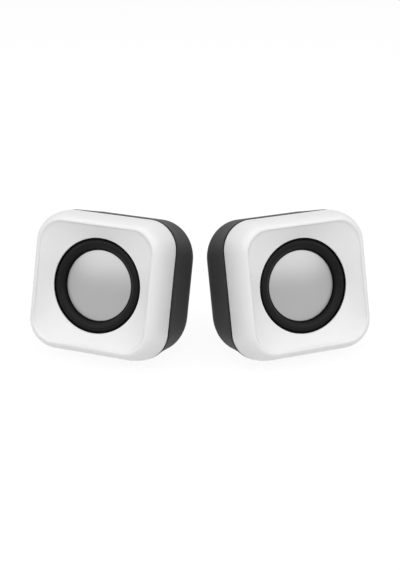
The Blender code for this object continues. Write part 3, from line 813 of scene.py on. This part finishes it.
def makeGrommet(side):
    outside, flange, cordHole = grommet["outside"], grommet["flange"], grommet["cordHole"]
    edge, rounding, collar = grommet["flangeEdge"], grommet["flangeRound"], grommet["collar"]
    neck = grommet["hole"] - fitGap
    inner = outside - grommet["wall"]
    profile = [(cordHole, inner - collar), (flange - 0.3, inner - collar), (flange, inner - collar + 0.3),
               (flange, inner), (neck, inner), (neck, outside), (flange, outside), (flange, outside + edge)]
    profile += arc((flange - rounding, outside + edge), (rounding, rounding), 10, 90, 6)
    ribStart = edge + 1.0
    step = (grommet["length"] - ribStart) / grommet["ribs"]
    depth = grommet["ribDepth"]
    for i in range(grommet["ribs"]):
        start = outside + ribStart + step * i
        radius = grommet["ribRadius"] - grommet["ribTaper"] * i / grommet["ribs"]
        profile += [(radius - depth, start), (radius - depth, start + 0.35 * step),
                    (radius, start + 0.5 * step), (radius, start + 0.85 * step),
                    (radius - depth, start + step - grommet["ribGap"])]
    end = outside + grommet["length"]
    profile += [(cordHole + 0.2, end), (cordHole, end - 0.2)]
    work = bmesh.new()
    turn(work, profile, 56, 0, grommet["height"])
    piece = newPiece(side + "CableGrommet", work, side, materials["black_rubber"], 40)
    declare(piece, side + "_speaker", side + "_cable_grommet")


# The knob's side is fluted; a slot in its end is the pointer.
def makeKnob():
    steps = 6 * knob["flutes"]

    def ring(radius, depth, fluted):
        points = []
        for i in range(steps):
            a = 2 * math.pi * i / steps
            wave = 0.5 - 0.5 * math.cos(knob["flutes"] * a)
            r = radius - fluted * knob["fluteDepth"] * wave
            points.append(Vector((r * math.cos(a), depth, knob["height"] + r * math.sin(a))))
        return points

    start = knob["start"]
    end = start + knob["length"]
    radius, rounding = knob["radius"], knob["edgeRound"]
    fluteStart = start + knob["fluteStart"]
    rings = [ring(knob["bore"], end - knob["front"], 0), ring(knob["bore"], start, 0),
             ring(radius - 0.9, start, 0), ring(radius - 0.35, start + 0.3, 0), ring(radius, fluteStart, 1)]
    rings += [ring(radius, fluteStart + knob["fluteLength"] * i / 6, 1) for i in range(1, 7)]
    for i in range(1, 7):
        a = math.radians(90 * i / 6)
        rings.append(ring(radius - rounding * (1 - math.cos(a)), end - rounding * (1 - math.sin(a)),
                          1 - i / 6))
    floor = end - knob["dish"]
    rings += [ring(radius - knob["dishRim"], end, 0), ring(radius - knob["dishRim"] - 0.5, floor, 0),
              ring(2.0, floor, 0)]
    work = bmesh.new()
    loft(work, rings)
    piece = newPiece("volumeKnob", work, "right", materials["dark_plastic"], 40)
    work = bmesh.new()
    across, near, far = knob["pointer"]
    block(work, (-across, floor - knob["pointerDepth"], knob["height"] + near),
          (across, end + through, knob["height"] + far))
    cutWith(piece, work, "right")
    declare(piece, "right_volume", "right_volume_knob")


# motor, and the parts on the amplifier's board

motor = {
    "plateChamfer": 0.3, "magnetChamfer": 0.7, "poleRadius": 6.9, "yokeThickness": 2.5,
    "poleChamfer": 0.4, "dimple": 2.4, "dimpleDepth": 0.5, "wire": 0.32, "formerRadius": 7.6,
}


def makeTurned(name, side, body, node, profile, steps=96, x=0.0, z=0.0):
    work = bmesh.new()
    turn(work, profile, steps, x, z)
    piece = newPiece(name, work, side, materials[slots[node]], 40)
    declare(piece, body, node)
    return piece


def chamferedRing(inner, outer, start, end, chamfer):
    half = chamfer / 2
    return [(inner, start + half), (inner + half, start), (outer - chamfer, start), (outer, start + chamfer),
            (outer, end - chamfer), (outer - chamfer, end), (inner + half, end), (inner, end - half)]


def makeMotor(side):
    for name, node, chamfer in (("TopPlate", "_top_plate", motor["plateChamfer"]),
                                ("Magnet", "_magnet", motor["magnetChamfer"])):
        points, low, high = nodePoints(side, side + node)
        inner = min(math.hypot(point.x, point.z) for point in points)
        profile = chamferedRing(inner, high[0], low[1], high[1], chamfer)
        makeTurned(side + name, side, side + "_speaker", side + node, profile)
    points, low, high = nodePoints(side, side + "_yoke")
    start, end, outer = low[1], high[1], high[0]
    pole, chamfer, dimple = motor["poleRadius"], motor["poleChamfer"], motor["dimple"]
    base = end - motor["yokeThickness"]
    profile = [(0, start), (pole - chamfer, start), (pole, start + chamfer), (pole, base),
               (outer - chamfer, base), (outer, base + chamfer), (outer, end - 2 * chamfer),
               (outer - 2 * chamfer, end), (dimple, end), (0.8 * dimple, end - motor["dimpleDepth"]),
               (0, end - motor["dimpleDepth"])]
    makeTurned(side + "Yoke", side, side + "_speaker", side + "_yoke", profile)


# The coil is a thin former with one layer of wire wound on it.
def makeVoiceCoil(side):
    node = side + "_voice_coil"
    points, low, high = nodePoints(side, node)
    former, outer, wire = motor["formerRadius"], high[0], motor["wire"]
    inner = min(math.hypot(point.x, point.z) for point in points)
    wound = [point.y for point in points if math.hypot(point.x, point.z) > (former + outer) / 2]
    start, end = min(wound), max(wound)
    count = int((end - start) / wire)
    profile = [(inner, low[1]), (former, low[1]), (former, start)]
    for i in range(count):
        middle = start + (i + 0.5) * (end - start) / count
        profile += arc((outer - wire / 2, middle), (wire / 2, wire / 2), -80, 80, 4)
    profile += [(former, end), (former, high[1]), (inner, high[1])]
    makeTurned(side + "VoiceCoil", side, side + "_cone_assembly", node, profile, 72)


capacitor = {
    "rim": 0.5, "edge": 0.2, "sunk": 0.2, "groove": 0.3, "grooveFromBoard": 1.2,
    "vent": 2.2, "ventWidth": 0.16, "ventDepth": 0.15,
}


def makeCapacitors():
    for number in (1, 2):
        node = f"right_capacitor_{number}"
        points, low, high = nodePoints("right", node)
        radius, top, base = (high[0] - low[0]) / 2, low[1], high[1]
        x, z = (low[0] + high[0]) / 2, (low[2] + high[2]) / 2
        rim, edge, sunk, groove = (capacitor[key] for key in ("rim", "edge", "sunk", "groove"))
        crimp = base - capacitor["grooveFromBoard"]
        profile = [(0, top + sunk), (radius - rim - sunk, top + sunk), (radius - rim, top),
                   (radius - edge, top), (radius, top + edge), (radius, crimp - groove)]
        profile += arc((radius, crimp), (-groove, groove), -60, 60, 6)
        profile += [(radius, crimp + groove), (radius, base - edge), (radius - edge, base), (0, base)]
        piece = makeTurned(f"rightCapacitor{number}", "right", "right_speaker", node, profile, 48, x, z)
        arm, slot = capacitor["vent"], capacitor["ventWidth"]
        for across, up in ((arm, slot), (slot, arm)):
            work = bmesh.new()
            block(work, (x - across, top - through, z - up),
                  (x + across, top + sunk + capacitor["ventDepth"], z + up))
            cutWith(piece, work, "right")


chip = {"legs": 7, "legWidth": 0.5, "legThickness": 0.2, "legReach": 0.8, "lift": 0.15, "taper": 0.2}


def rectangle(low, high, depth, trim):
    near, far = low[0] + trim, high[0] - trim
    corners = ((near, low[2]), (far, low[2]), (far, high[2]), (near, high[2]))
    return [Vector((x, depth, z)) for x, z in corners]


def makeChip():
    node = "right_amplifier_chip"
    points, low, high = nodePoints("right", node)
    reach, taper, thick = chip["legReach"], chip["taper"], chip["legThickness"]
    top, base = low[1], high[1]
    middle = (top + base) / 2
    work = bmesh.new()
    rings = []
    for depth, trim in ((top, taper), (middle, 0), (base - chip["lift"], taper)):
        ring = rectangle(low, high, depth, trim)
        for point in ring:
            point.z += (reach + trim) * (1 if point.z < (low[2] + high[2]) / 2 else -1)
        rings.append(ring)
    loft(work, rings)
    piece = newPiece("rightAmplifierChip", work, "right", materials["chip_black"], 20)
    declare(piece, "right_speaker", node)
    work = bmesh.new()
    pitch = (high[0] - low[0]) / chip["legs"]
    for edge, way in ((low[2], 1), (high[2], -1)):
        bent = [(reach + 0.2, middle), (reach / 2, middle), (reach / 2, base - thick), (0, base - thick),
                (0, base), (reach / 2 + thick, base), (reach / 2 + thick, middle + thick),
                (reach + 0.2, middle + thick)]
        for i in range(chip["legs"]):
            start = low[0] + (i + 0.5) * pitch - chip["legWidth"] / 2
            rings = [[Vector((x, depth, edge + way * across)) for across, depth in bent]
                     for x in (start, start + chip["legWidth"])]
            loft(work, rings)
    legs = newPiece("rightAmplifierChipLegs", work, "right", materials["plated_steel"], 20)
    declare(legs, "right_speaker", node)


for side in sides:
    makeBezel(side)
    makeShell(side)
    makeSurround(side)
    makeSpider(side)
    makeDome(side)
    print(side, "speaker's bezel, shell and driver front made")
    makeFeet(side)
    makeScrews(side)
    makeGrommet(side)
    print(side, "speaker's feet, screws and grommet made")
    makeMotor(side)
    makeVoiceCoil(side)
    print(side, "speaker's motor made")
makeKnob()
makeCapacitors()
makeChip()
print("volume knob and the board's parts made")


# pieces kept from the frame

for name, node in frame["nodes"].items():
    node.data.materials.clear()
    node.data.materials.append(materials[slots[name]])
